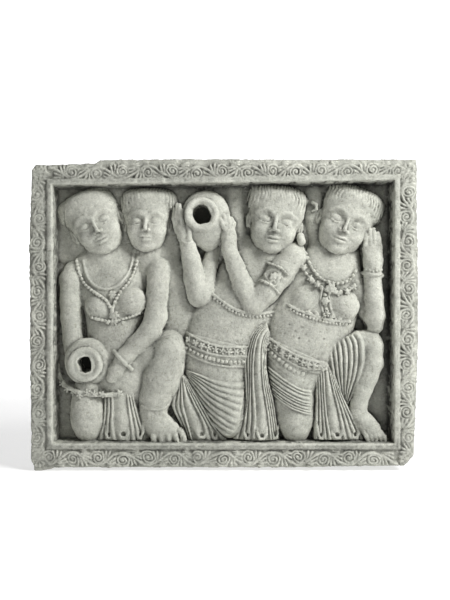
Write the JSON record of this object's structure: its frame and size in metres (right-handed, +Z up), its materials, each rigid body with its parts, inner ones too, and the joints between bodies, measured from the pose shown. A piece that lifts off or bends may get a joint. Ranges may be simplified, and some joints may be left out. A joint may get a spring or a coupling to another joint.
{
  "type": "framed relief panel",
  "caption": "Upright carved stone panel: kneeling women with water jars in high relief inside a leaf-scroll border; the jar mouths are drilled sockets.",
  "frame": {"origin": "middle of the underside: halfway across the width, halfway through the thickness, at the foot of the panel", "axes": "+X to the viewer's right along the longest side, the carving faces -Y, +Z up"},
  "size_m": [1, 0.12, 0.793],
  "materials": {
    "stone": "coarse-grained pale grey-green stone, matt, tooled and slightly weathered"
  },
  "bodies": {
    "root": {"relief_panel": "stone"}
  },
  "joints": []
}
